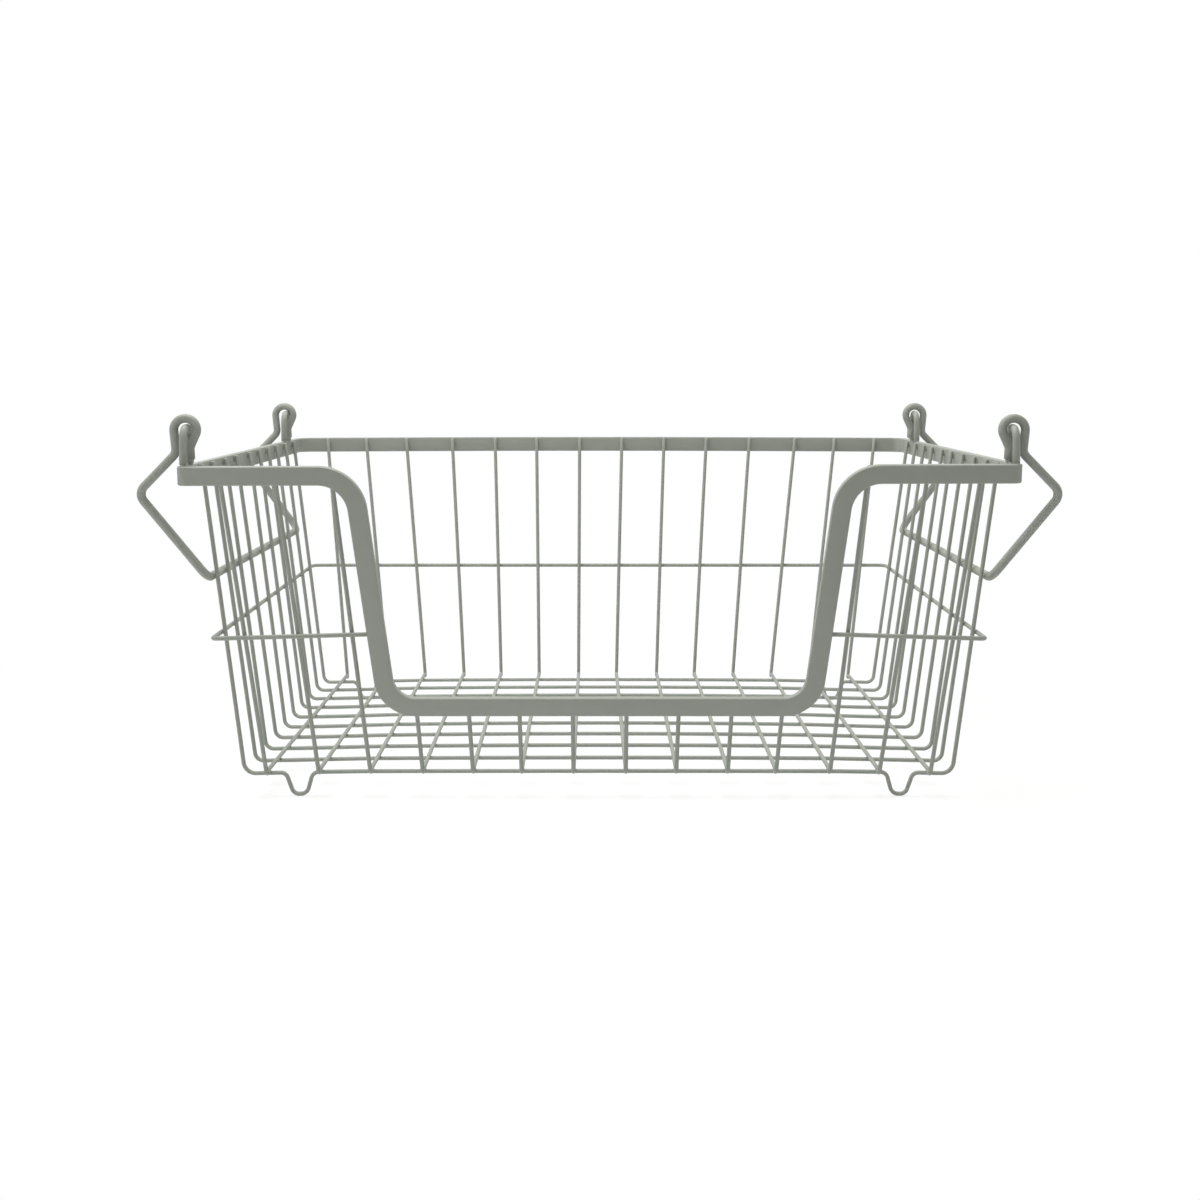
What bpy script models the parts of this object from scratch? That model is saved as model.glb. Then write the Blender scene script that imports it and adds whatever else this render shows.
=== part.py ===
# Wire storage basket with a dropped front and two swinging handles that turn inward to carry a second basket.
# The origin is on the ground under the middle of the basket, the dropped front faces -Y and +Z is up.

import math

import bmesh
import bpy
from mathutils import Matrix, Vector

MM = 0.001

# Wire and bar, with their coating
LONG_WIRE_DIAMETER = 2.3 * MM
CROSS_WIRE_DIAMETER = 2.5 * MM
BELT_WIRE_DIAMETER = 2.4 * MM
STAPLE_WIRE_DIAMETER = 4.2 * MM
HANDLE_WIRE_DIAMETER = 5.0 * MM
BAR_HEIGHT = 10.3 * MM
BAR_THICKNESS = 2.5 * MM
BAR_EDGE_RADIUS = 0.8 * MM
SEAT_GAP = 0.3 * MM

# Basket, measured on the centre lines of the floor and wall wires
FLOOR_LENGTH = 412.8 * MM
FLOOR_DEPTH = 269.5 * MM
RIM_HEIGHT = 181.5 * MM
WALL_DRAFT_SHARE = 0.137

# Long wires: side wall, floor and side wall in one piece, counted from the front
LONG_WIRE_COUNT = 10
FRONT_LONG_SETBACK = 6.1 * MM
REAR_LONG_SETBACK = 14.4 * MM
LONG_RIM_FRONT_SETBACK = 4.4 * MM
LONG_RIM_REAR_SETBACK = 9.5 * MM
LONG_BEND_RADIUS = 9.0 * MM
WIRE_END_DROP = 0.6 * MM

# Feet: bumps in the first and the last long wire
FOOT_DROP = 13.4 * MM
FOOT_SPREAD = 350.4 * MM
FOOT_TOP_WIDTH = 16.0 * MM
FOOT_BOTTOM_WIDTH = 7.4 * MM
FOOT_TOP_RADIUS = 3.5 * MM
FOOT_BOTTOM_RADIUS = 3.2 * MM

# Cross wires: front wall, floor and back wall in one piece, lying on the long wires.
# Each share is a place along half of the rim, from the middle outwards.
CROSS_WIRE_RIM_SHARES = (0.072, 0.2165, 0.360, 0.506, 0.6555, 0.797, 0.930)
CROSS_SIDE_SETBACK = 14.65 * MM
CROSS_BEND_RADIUS = 2.2 * MM
CROSS_BEND_DROP = 3.7 * MM
CROSS_BEND_RUN = 4.8 * MM

# Belt wire round the outside of the walls
BELT_HEIGHT = 83.6 * MM
BELT_CORNER_RADIUS = 5.0 * MM

# Rim bar, with the cut-out in its front, on the bar's centre line. Its sides and back stand upright,
# and its front leans with the front wall.
RIM_FRONT_CORNER_RADIUS = 3.5 * MM
RIM_REAR_CORNER_RADIUS = 9.0 * MM
CUTOUT_TOP_LENGTH = 277.2 * MM
CUTOUT_BOTTOM_LENGTH = 244.8 * MM
CUTOUT_BOTTOM_HEIGHT = 43.0 * MM
CUTOUT_TOP_BEND_RADIUS = 21.0 * MM
CUTOUT_LOW_BEND_RADIUS = 17.5 * MM

# Staples: the four loops on the side rims that the handles hang on
STAPLE_SPAN = 14.6 * MM
STAPLE_HEIGHT = 20.8 * MM
STAPLE_BEND_RADIUS = 6.0 * MM
STAPLE_INSET = 0.8 * MM
FRONT_STAPLE_SETBACK = 12.0 * MM
REAR_STAPLE_SETBACK = 53.9 * MM

# Handles: measured from the middle of an eye, with the handle hanging at rest
EYE_INNER_RADIUS = 3.95 * MM
TAIL_NECK_INSET = 2.6 * MM
TAIL_NECK_DROP = 10.0 * MM
TAIL_BEND_RADIUS = 6.0 * MM
TAIL_END_INSET = 3.1 * MM
TAIL_END_DROP = 17.6 * MM
NECK_REACH = 5.2 * MM
NECK_DROP = 13.2 * MM
NECK_BEND_RADIUS = 6.0 * MM
ELBOW_REACH = 27.5 * MM
ELBOW_DROP = 35.8 * MM
ELBOW_BEND_RADIUS = 7.0 * MM
GRIP_DROP = 86.5 * MM
GRIP_BEND_RADIUS = 8.0 * MM
FRONT_ARM_LEAN = 17.0 * MM
REAR_ARM_LEAN = 10.0 * MM

# Roundness: the turn of one straight piece of a bend, and the sides round a wire
BEND_STEP = math.radians(22)
EYE_STEP = math.radians(20)
THIN_WIRE_RESOLUTION = 2
THICK_WIRE_RESOLUTION = 4
BAR_EDGE_SEGMENTS = 2
SHARP_ANGLE = math.radians(40)

# Radii and heights that follow
LONG_RADIUS = LONG_WIRE_DIAMETER / 2
CROSS_RADIUS = CROSS_WIRE_DIAMETER / 2
BELT_RADIUS = BELT_WIRE_DIAMETER / 2
STAPLE_RADIUS = STAPLE_WIRE_DIAMETER / 2
HANDLE_RADIUS = HANDLE_WIRE_DIAMETER / 2
EYE_RADIUS = EYE_INNER_RADIUS + HANDLE_RADIUS
DRAFT = math.atan(WALL_DRAFT_SHARE)
FLOOR_Z = FOOT_DROP + LONG_RADIUS
CROSS_FLOOR_Z = FLOOR_Z + LONG_RADIUS + SEAT_GAP + CROSS_RADIUS
RIM_TOP_Z = FLOOR_Z + RIM_HEIGHT
RIM_Z = RIM_TOP_Z - BAR_HEIGHT / 2
CUTOUT_Z = FLOOR_Z + CUTOUT_BOTTOM_HEIGHT
BELT_Z = FLOOR_Z + BELT_HEIGHT
WIRE_END_Z = RIM_TOP_Z - WIRE_END_DROP
STAPLE_TOP_Z = RIM_TOP_Z + STAPLE_HEIGHT
STAPLE_BOTTOM_Z = RIM_TOP_Z + SEAT_GAP

# A loose eye hangs down and out on its staple, by the same amount each way
EYE_OFFSET = (EYE_INNER_RADIUS - STAPLE_RADIUS - SEAT_GAP) / math.sqrt(2)
EYE_Z = STAPLE_TOP_Z - EYE_OFFSET

# How far the centre line of a piece lies outside the wall wires that carry it
RIM_OVER_CROSS = CROSS_RADIUS + SEAT_GAP + BAR_THICKNESS / 2
BELT_OVER_LONG = LONG_RADIUS + SEAT_GAP + BELT_RADIUS
BELT_OVER_CROSS = CROSS_RADIUS + SEAT_GAP + BELT_RADIUS


def clear_scene():
    for old in list(bpy.data.objects):
        bpy.data.objects.remove(old, do_unlink=True)


def coated_steel(name, colour, roughness):
    material = bpy.data.materials.new(name)
    material.use_nodes = True
    shader = material.node_tree.nodes["Principled BSDF"]
    shader.inputs["Base Color"].default_value = colour
    shader.inputs["Roughness"].default_value = roughness
    shader.inputs["Metallic"].default_value = 0.0
    return material


def side_wall_x(z, outside=0.0):
    # Distance of a side wall's plane from the middle, at a height, moved out square to the wall
    return FLOOR_LENGTH / 2 + WALL_DRAFT_SHARE * (z - FLOOR_Z) + outside / math.cos(DRAFT)


def end_wall_y(z, outside=0.0):
    # The same for the front and back walls
    return FLOOR_DEPTH / 2 + WALL_DRAFT_SHARE * (z - FLOOR_Z) + outside / math.cos(DRAFT)


def mixed(start, end, share):
    return start + (end - start) * share


def height_share(z):
    return (z - FLOOR_Z) / RIM_HEIGHT


def bend_points(before, corner, after, radius, step=BEND_STEP):
    # Points of the arc that rounds a corner, from one straight run to the next
    back = (before - corner).normalized()
    ahead = (after - corner).normalized()
    turn = math.pi - back.angle(ahead)
    reach = radius * math.tan(turn / 2)
    centre = corner + (back + ahead).normalized() * (radius / math.cos(turn / 2))
    first = corner + back * reach - centre
    square = (ahead * reach + corner - centre) - first * math.cos(turn)
    square = square.normalized() * radius
    count = max(2, math.ceil(turn / step))
    angles = [turn * index / count for index in range(count + 1)]
    return centre, [centre + first * math.cos(a) + square * math.sin(a) for a in angles]


def bent_wire_path(corners, step=BEND_STEP):
    # Path through corners given as (place, bend radius), whose two ends have no bend
    places = [Vector(place) for place, _ in corners]
    path = [places[0]]
    for index in range(1, len(corners) - 1):
        radius = corners[index][1]
        path += bend_points(places[index - 1], places[index], places[index + 1], radius, step)[1]
    path.append(places[-1])
    return path


def add_wire(name, path, diameter, resolution, material, parts, origin=(0.0, 0.0, 0.0), twist="Z_UP"):
    # Round wire along a path, as a curve with flat capped ends, turned so that its flats face up and down
    origin = Vector(origin)
    sides = 4 + 2 * resolution
    curve = bpy.data.curves.new(name, "CURVE")
    curve.dimensions = "3D"
    curve.bevel_depth = diameter / 2
    curve.bevel_resolution = resolution
    curve.use_fill_caps = True
    curve.twist_mode = twist
    spline = curve.splines.new("POLY")
    spline.points.add(len(path) - 1)
    for point, place in zip(spline.points, path):
        point.co = (*(place - origin), 1.0)
        point.tilt = math.pi / sides
    curve.materials.append(material)
    wire = bpy.data.objects.new(name, curve)
    wire.location = origin
    parts.objects.link(wire)
    return wire


def long_wire_corners(index):
    # Corners of one long wire, from the left rim over the floor to the right rim
    share = index / (LONG_WIRE_COUNT - 1)
    front = -FLOOR_DEPTH / 2
    floor_y = mixed(front + FRONT_LONG_SETBACK, -front - REAR_LONG_SETBACK, share)
    rim_front = front + LONG_RIM_FRONT_SETBACK
    rim_y = mixed(rim_front, -front - LONG_RIM_REAR_SETBACK, share)
    rim_x = side_wall_x(WIRE_END_Z)
    floor_x = side_wall_x(FLOOR_Z)
    left = [((-rim_x, rim_y, WIRE_END_Z), 0.0), ((-floor_x, floor_y, FLOOR_Z), LONG_BEND_RADIUS)]
    right = [((-x, y, z), radius) for (x, y, z), radius in reversed(left)]
    return left, right, floor_y


def foot_corners(middle_x, floor_y):
    # Corners of one foot, a flat-bottomed bump that hangs below the floor wire
    top = FOOT_TOP_WIDTH / 2
    bottom = FOOT_BOTTOM_WIDTH / 2
    low = FLOOR_Z - FOOT_DROP
    return [
        ((middle_x - top, floor_y, FLOOR_Z), FOOT_TOP_RADIUS),
        ((middle_x - bottom, floor_y, low), FOOT_BOTTOM_RADIUS),
        ((middle_x + bottom, floor_y, low), FOOT_BOTTOM_RADIUS),
        ((middle_x + top, floor_y, FLOOR_Z), FOOT_TOP_RADIUS),
    ]


def add_long_wires(material, parts):
    last = LONG_WIRE_COUNT - 1
    for index in range(LONG_WIRE_COUNT):
        left, right, floor_y = long_wire_corners(index)
        feet = []
        if index in (0, last):
            for side in (-1, 1):
                feet += foot_corners(side * FOOT_SPREAD / 2, floor_y)
        names = {0: "foot_wire_front", last: "foot_wire_rear"}
        name = names.get(index, f"long_wire_{index + 1}")
        path = bent_wire_path(left + feet + right)
        add_wire(name, path, LONG_WIRE_DIAMETER, THIN_WIRE_RESOLUTION, material, parts)


def cross_wire_places():
    # Floor place and rim place of each cross wire along X, from left to right
    count = 2 * len(CROSS_WIRE_RIM_SHARES)
    pitch = (FLOOR_LENGTH - 2 * CROSS_SIDE_SETBACK) / (count - 1)
    half_rim = side_wall_x(RIM_TOP_Z)
    half = [((index + 0.5) * pitch, share * half_rim) for index, share in enumerate(CROSS_WIRE_RIM_SHARES)]
    return [(-floor_x, -rim_x) for floor_x, rim_x in reversed(half)] + half


def cutout_leg_x(z):
    # Half the width of the cut-out, at the centre line of its leg, at a height
    share = (z - CUTOUT_Z) / (RIM_Z - CUTOUT_Z)
    return mixed(CUTOUT_BOTTOM_LENGTH, CUTOUT_TOP_LENGTH, share) / 2


def cross_wire_half(floor_x, rim_x, side, end_z):
    # Corners from the top of the front wall (side -1) or back wall (side 1) to the floor's edge
    bend_z = CROSS_FLOOR_Z - CROSS_BEND_DROP
    top_x = mixed(floor_x, rim_x, height_share(end_z))
    return [
        ((top_x, side * end_wall_y(end_z), end_z), 0.0),
        ((floor_x, side * end_wall_y(bend_z), bend_z), CROSS_BEND_RADIUS),
        ((floor_x, side * (end_wall_y(FLOOR_Z) - CROSS_BEND_RUN), CROSS_FLOOR_Z), CROSS_BEND_RADIUS),
    ]


def add_cross_wires(material, parts):
    low_end_z = CUTOUT_Z + BAR_HEIGHT / 2 * math.cos(DRAFT) - WIRE_END_DROP
    for index, (floor_x, rim_x) in enumerate(cross_wire_places()):
        in_cutout = abs(floor_x) < CUTOUT_BOTTOM_LENGTH / 2
        front = cross_wire_half(floor_x, rim_x, -1, low_end_z if in_cutout else WIRE_END_Z)
        back = cross_wire_half(floor_x, rim_x, 1, WIRE_END_Z)
        path = bent_wire_path(front + back[::-1])
        add_wire(f"cross_wire_{index + 1}", path, CROSS_WIRE_DIAMETER, THIN_WIRE_RESOLUTION, material, parts)


def add_belt_wire(material, parts):
    # Runs from one leg of the cut-out round the basket to the other, butted against their edges
    leg_lean = (CUTOUT_TOP_LENGTH - CUTOUT_BOTTOM_LENGTH) / 2 / (RIM_Z - CUTOUT_Z)
    end_gap = SEAT_GAP + BELT_RADIUS * leg_lean
    end_x = cutout_leg_x(BELT_Z) + BAR_HEIGHT / 2 * math.hypot(1.0, leg_lean) + end_gap
    x = side_wall_x(BELT_Z, BELT_OVER_LONG)
    y = end_wall_y(BELT_Z, BELT_OVER_CROSS)
    corners = [((-end_x, -y, BELT_Z), 0.0)]
    corners += [((place_x, place_y, BELT_Z), BELT_CORNER_RADIUS)
                for place_x, place_y in ((-x, -y), (-x, y), (x, y), (x, -y))]
    corners.append(((end_x, -y, BELT_Z), 0.0))
    path = bent_wire_path(corners)
    add_wire("belt_wire", path, BELT_WIRE_DIAMETER, THIN_WIRE_RESOLUTION, material, parts)


def side_bar_x():
    # Distance of a side bar's centre line from the middle; the side wires touch the bar with their tops
    return side_wall_x(RIM_TOP_Z, LONG_RADIUS) + SEAT_GAP + BAR_THICKNESS / 2


def rim_frames():
    # Place, outward direction and upward direction of the bar's section at each station of the closed rim.
    # The lean of the front fades out round the two front corners.
    x = side_bar_x()
    front_y = end_wall_y(RIM_Z, RIM_OVER_CROSS)
    rear_y = end_wall_y(RIM_TOP_Z, CROSS_RADIUS) + SEAT_GAP + BAR_THICKNESS / 2
    low_y = end_wall_y(CUTOUT_Z, RIM_OVER_CROSS)
    top_x = CUTOUT_TOP_LENGTH / 2
    low_x = CUTOUT_BOTTOM_LENGTH / 2
    corners = [
        (Vector((-x, -front_y, RIM_Z)), RIM_FRONT_CORNER_RADIUS, True),
        (Vector((-top_x, -front_y, RIM_Z)), CUTOUT_TOP_BEND_RADIUS, False),
        (Vector((-low_x, -low_y, CUTOUT_Z)), CUTOUT_LOW_BEND_RADIUS, False),
        (Vector((low_x, -low_y, CUTOUT_Z)), CUTOUT_LOW_BEND_RADIUS, False),
        (Vector((top_x, -front_y, RIM_Z)), CUTOUT_TOP_BEND_RADIUS, False),
        (Vector((x, -front_y, RIM_Z)), RIM_FRONT_CORNER_RADIUS, True),
        (Vector((x, rear_y, RIM_Z)), RIM_REAR_CORNER_RADIUS, True),
        (Vector((-x, rear_y, RIM_Z)), RIM_REAR_CORNER_RADIUS, True),
    ]
    stations = []
    for index, (corner, radius, in_plan) in enumerate(corners):
        before = corners[index - 1][0]
        after = corners[(index + 1) % len(corners)][0]
        centre, places = bend_points(before, corner, after, radius)
        for place in places:
            level = (place - centre).normalized() if in_plan else Vector((0, -1, 0))
            lean = DRAFT * max(0.0, -level.y)
            stations.append((place, level * math.cos(lean) - Vector((0, 0, math.sin(lean)))))
    frames = []
    for index, (place, outward) in enumerate(stations):
        ahead = stations[(index + 1) % len(stations)][0] - place
        behind = place - stations[index - 1][0]
        along = (ahead.normalized() + behind.normalized()).normalized()
        upward = outward.cross(along).normalized()
        along = upward.cross(outward)
        turn = Matrix((outward, upward, along)).transposed().to_4x4()
        frames.append(Matrix.Translation(place) @ turn)
    return frames


def add_rim_band(material, parts):
    # The bar's rounded section is extruded from station to station and closed on itself
    frames = rim_frames()
    work = bmesh.new()
    section = bmesh.ops.create_grid(work, x_segments=1, y_segments=1, size=0.5)["verts"]
    bmesh.ops.scale(work, vec=(BAR_THICKNESS, BAR_HEIGHT, 1.0), verts=section)
    bmesh.ops.bevel(work, geom=section, offset=BAR_EDGE_RADIUS, segments=BAR_EDGE_SEGMENTS,
                    profile=0.5, affect="VERTICES")
    bmesh.ops.delete(work, geom=work.faces[:], context="FACES_ONLY")
    bmesh.ops.transform(work, matrix=frames[0], verts=work.verts[:])
    first_ring = work.edges[:]
    ring = first_ring
    for previous, frame in zip(frames, frames[1:]):
        grown = bmesh.ops.extrude_edge_only(work, edges=ring)["geom"]
        ring = [item for item in grown if isinstance(item, bmesh.types.BMEdge)]
        moved = [item for item in grown if isinstance(item, bmesh.types.BMVert)]
        bmesh.ops.transform(work, matrix=frame @ previous.inverted(), verts=moved)
    bmesh.ops.bridge_loops(work, edges=ring + first_ring)
    bmesh.ops.recalc_face_normals(work, faces=work.faces[:])
    mesh = bpy.data.meshes.new("rim_band")
    work.to_mesh(mesh)
    work.free()
    mesh.shade_smooth()
    mesh.set_sharp_from_angle(angle=SHARP_ANGLE)
    mesh.materials.append(material)
    parts.objects.link(bpy.data.objects.new("rim_band", mesh))


def staple_places():
    # Middle of the front and rear staples along Y, and the distance of the staples from the middle along X
    rim_y = end_wall_y(RIM_TOP_Z, RIM_OVER_CROSS + BAR_THICKNESS / 2)
    return -rim_y + FRONT_STAPLE_SETBACK, rim_y - REAR_STAPLE_SETBACK, side_bar_x() - STAPLE_INSET


def add_staples(material, parts):
    front_y, rear_y, x = staple_places()
    for side_name, side in (("left", -1), ("right", 1)):
        for end_name, middle_y in (("front", front_y), ("rear", rear_y)):
            near = middle_y - STAPLE_SPAN / 2
            far = middle_y + STAPLE_SPAN / 2
            corners = [
                ((side * x, near, STAPLE_BOTTOM_Z), 0.0),
                ((side * x, near, STAPLE_TOP_Z), STAPLE_BEND_RADIUS),
                ((side * x, far, STAPLE_TOP_Z), STAPLE_BEND_RADIUS),
                ((side * x, far, STAPLE_BOTTOM_Z), 0.0),
            ]
            path = bent_wire_path(corners)
            add_wire(f"staple_{end_name}_{side_name}", path, STAPLE_WIRE_DIAMETER, THICK_WIRE_RESOLUTION,
                     material, parts, twist="MINIMUM")


def tangent_angle(reach, drop, side):
    # Angle on the eye's circle where the straight run to a point below it leaves the circle
    distance = math.hypot(reach, drop)
    return math.atan2(-drop, reach) + side * math.acos(EYE_RADIUS / distance)


def eye_path(place, y):
    # The open eye, from its free tail round the top to the run down to the neck
    start = tangent_angle(TAIL_NECK_INSET, TAIL_NECK_DROP, 1)
    end = tangent_angle(-NECK_REACH, NECK_DROP, -1) + 2 * math.pi
    count = math.ceil((end - start) / EYE_STEP)
    angles = [mixed(start, end, index / count) for index in range(count + 1)]
    circle = [place(EYE_RADIUS * math.cos(angle), EYE_RADIUS * math.sin(angle), y) for angle in angles]
    tail = [
        (place(TAIL_END_INSET, -TAIL_END_DROP, y), 0.0),
        (place(TAIL_NECK_INSET, -TAIL_NECK_DROP, y), TAIL_BEND_RADIUS),
        (circle[0], 0.0),
    ]
    return bent_wire_path(tail)[:-1] + circle


def add_handles(material, parts):
    front_y, rear_y, staple_x = staple_places()
    pivot_x = staple_x + EYE_OFFSET
    grip_z = EYE_Z - GRIP_DROP
    grip_x = side_wall_x(grip_z, LONG_RADIUS) + SEAT_GAP + HANDLE_RADIUS
    for side_name, side in (("left", -1), ("right", 1)):
        def place(inward, up, y):
            return Vector((side * (pivot_x - inward), y, EYE_Z + up))

        def arm(y, grip_y):
            inward = pivot_x - grip_x
            return [
                (place(-NECK_REACH, -NECK_DROP, y), NECK_BEND_RADIUS),
                (place(-ELBOW_REACH, -ELBOW_DROP, y), ELBOW_BEND_RADIUS),
                (place(inward, -GRIP_DROP, grip_y), GRIP_BEND_RADIUS),
            ]

        front_eye = eye_path(place, front_y)
        rear_eye = eye_path(place, rear_y)
        front_arm = arm(front_y, front_y + FRONT_ARM_LEAN)
        rear_arm = arm(rear_y, rear_y + REAR_ARM_LEAN)
        corners = [(front_eye[-1], 0.0)] + front_arm + rear_arm[::-1] + [(rear_eye[-1], 0.0)]
        path = front_eye[:-1] + bent_wire_path(corners) + rear_eye[-2::-1]
        pivot = (side * pivot_x, (front_y + rear_y) / 2, EYE_Z)
        add_wire(f"handle_{side_name}", path, HANDLE_WIRE_DIAMETER, THICK_WIRE_RESOLUTION,
                 material, parts, pivot, twist="MINIMUM")


def build_basket():
    clear_scene()
    parts = bpy.data.collections.new("wire_storage_basket")
    bpy.context.scene.collection.children.link(parts)
    add_rim_band(coated_steel("coated_bar", (0.246, 0.258, 0.232, 1.0), 0.5), parts)
    add_long_wires(coated_steel("coated_long_wire", (0.242, 0.254, 0.228, 1.0), 0.52), parts)
    add_cross_wires(coated_steel("coated_cross_wire", (0.242, 0.254, 0.228, 1.0), 0.52), parts)
    add_belt_wire(coated_steel("coated_belt_wire", (0.242, 0.254, 0.228, 1.0), 0.52), parts)
    add_staples(coated_steel("coated_staple", (0.25, 0.262, 0.236, 1.0), 0.48), parts)
    add_handles(coated_steel("coated_handle", (0.25, 0.262, 0.236, 1.0), 0.48), parts)


build_basket()
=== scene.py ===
import math

import bmesh
import bpy
from mathutils import Matrix, Vector


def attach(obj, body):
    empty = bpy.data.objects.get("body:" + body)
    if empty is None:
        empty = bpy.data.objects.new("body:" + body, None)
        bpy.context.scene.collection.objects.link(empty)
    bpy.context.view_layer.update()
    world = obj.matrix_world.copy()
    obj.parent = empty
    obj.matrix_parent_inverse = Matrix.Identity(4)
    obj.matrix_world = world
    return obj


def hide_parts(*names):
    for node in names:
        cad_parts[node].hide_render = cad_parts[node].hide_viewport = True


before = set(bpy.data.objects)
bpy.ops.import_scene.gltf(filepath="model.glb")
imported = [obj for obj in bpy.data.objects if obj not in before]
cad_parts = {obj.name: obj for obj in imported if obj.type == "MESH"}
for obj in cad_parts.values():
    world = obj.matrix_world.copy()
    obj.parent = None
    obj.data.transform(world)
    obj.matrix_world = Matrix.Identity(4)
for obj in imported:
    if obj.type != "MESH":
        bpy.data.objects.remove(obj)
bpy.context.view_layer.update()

mm = 0.001

basketBody = "basket"
handleBodies = {"left": "left_handle", "right": "right_handle"}

# How finely the pieces are drawn: the turn between two points of a bend, how round a wire is, and
# the longest straight run without a point
smoothness = {
    "wireBend": math.radians(7),
    "barBend": math.radians(5),
    "thinWire": 5,
    "thickWire": 8,
    "longestRun": 12 * mm,
}


def linearColour(code):
    values = [int(code[place:place + 2], 16) / 255 for place in (1, 3, 5)]
    linear = [value / 12.92 if value <= 0.04045 else ((value + 0.055) / 1.055) ** 2.4 for value in values]
    return linear + [1.0]


def addNode(tree, kind, settings=None, links=None):
    node = tree.nodes.new(kind)
    for key, value in (settings or {}).items():
        if isinstance(key, int) or key in node.inputs:
            node.inputs[key].default_value = value
        else:
            setattr(node, key, value)
    for key, source in (links or {}).items():
        tree.links.new(source, node.inputs[key])
    return node


def mixed(start, end, share):
    return start + (end - start) * share


def bendPoints(before, corner, after, radius, step):
    back = (before - corner).normalized()
    ahead = (after - corner).normalized()
    turn = math.pi - back.angle(ahead)
    reach = radius * math.tan(turn / 2)
    centre = corner + (back + ahead).normalized() * (radius / math.cos(turn / 2))
    first = corner + back * reach - centre
    square = (ahead * reach + corner - centre) - first * math.cos(turn)
    square = square.normalized() * radius
    count = max(2, math.ceil(turn / step))
    angles = [turn * index / count for index in range(count + 1)]
    return centre, [centre + first * math.cos(angle) + square * math.sin(angle) for angle in angles]


def bentPath(corners):
    # Corners are pairs of place and bend radius, and the two ends have no bend
    places = [Vector(place) for place, _ in corners]
    path = [places[0]]
    for index in range(1, len(corners) - 1):
        before, corner, after = places[index - 1:index + 2]
        path += bendPoints(before, corner, after, corners[index][1], smoothness["wireBend"])[1]
    path.append(places[-1])
    return path


def meshFrom(work, name):
    mesh = bpy.data.meshes.new(name)
    work.to_mesh(mesh)
    work.free()
    return mesh


def clothePiece(piece, body, material, nodes=()):
    piece.data.materials.append(material)
    bpy.context.scene.collection.objects.link(piece)
    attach(piece, body)
    if nodes:
        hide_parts(*nodes)


# The coat rounds the cut ends. The last bit of a wire, this share of its radius long, narrows like
# a dome.
wireEnd = {
    "share": 0.6,
    "angles": [math.radians(angle) for angle in (0, 30, 55, 75, 89)],
}


def domePoints(tip, neighbour, radius):
    outward = (tip - neighbour).normalized()
    return [
        tip - outward * radius * wireEnd["share"] * (1 - math.sin(angle))
        for angle in wireEnd["angles"]
    ]


def roundedWire(name, path, radius, roundness, material, body, node):
    domeRadii = [math.cos(angle) for angle in wireEnd["angles"]]
    startDome = domePoints(path[0], path[1], radius)
    endDome = domePoints(path[-1], path[-2], radius)
    places = startDome[::-1] + path[1:-1] + endDome
    sizes = domeRadii[::-1] + [1.0] * (len(path) - 2) + domeRadii
    curve = bpy.data.curves.new(name, "CURVE")
    curve.dimensions = "3D"
    curve.bevel_depth = radius
    curve.bevel_resolution = roundness
    curve.use_fill_caps = True
    spline = curve.splines.new("POLY")
    spline.points.add(len(places) - 1)
    for point, place, size in zip(spline.points, places, sizes):
        point.co = (*place, 1.0)
        point.radius = size
    clothePiece(bpy.data.objects.new(name, curve), body, material, (node,))


# The draft is how far a wall leans outward for each step up
walls = {
    "draft": 0.137,
    "endDraft": 0.126,
    "floorLength": 412.8 * mm,
    "floorDepth": 269.5 * mm,
    "floorHeight": 14.55 * mm,
    "rimHeight": 181.7 * mm,
    "seatGap": 0.3 * mm,
    "leftFloorOut": 1.2 * mm,
}
sideLean = math.atan(walls["draft"])
endLean = math.atan(walls["endDraft"])
rimTopZ = walls["floorHeight"] + walls["rimHeight"]


def sideWallX(z, outside=0.0, side=1):
    rise = z - walls["floorHeight"]
    # The left wall stands a little further out at the floor than the right one
    extra = walls["leftFloorOut"] * (1 - rise / walls["rimHeight"]) if side < 0 else 0.0
    return walls["floorLength"] / 2 + walls["draft"] * rise + outside / math.cos(sideLean) + extra


def endWallY(z, outside=0.0):
    rise = z - walls["floorHeight"]
    return walls["floorDepth"] / 2 + walls["endDraft"] * rise + outside / math.cos(endLean)


# The floor is pressed up a little in the middle, and drops towards the side walls
crown = {
    "rise": 1.7 * mm,
    "halfLength": 172 * mm,
    "halfDepth": 155 * mm,
    "middleY": 15 * mm,
    "fadeHeight": 60 * mm,
    "cornerDrop": 1.1 * mm,
    "cornerStart": 130 * mm,
    "cornerReach": 70 * mm,
    "cornerCurve": 1.5,
}


def floorRise(x, y):
    across = max(0.0, 1 - (x / crown["halfLength"]) ** 2)
    deep = max(0.0, 1 - ((y - crown["middleY"]) / crown["halfDepth"]) ** 2)
    corner = max(0.0, (abs(x) - crown["cornerStart"]) / crown["cornerReach"])
    drop = crown["cornerDrop"] * min(1.0, corner) ** crown["cornerCurve"]
    return crown["rise"] * across * deep - drop


def crowned(path):
    # Long straight runs get extra points. Each point follows the floor's rise, and less so further up
    # the walls.
    fine = []
    for start, end in zip(path, path[1:]):
        count = max(1, math.ceil((end - start).length / smoothness["longestRun"]))
        fine += [start.lerp(end, index / count) for index in range(count)]
    fine.append(path[-1])
    for point in fine:
        fade = max(0.0, 1 - max(0.0, point.z - crossFloorZ) / crown["fadeHeight"])
        point.z += floorRise(point.x, point.y) * fade
    return fine


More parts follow.
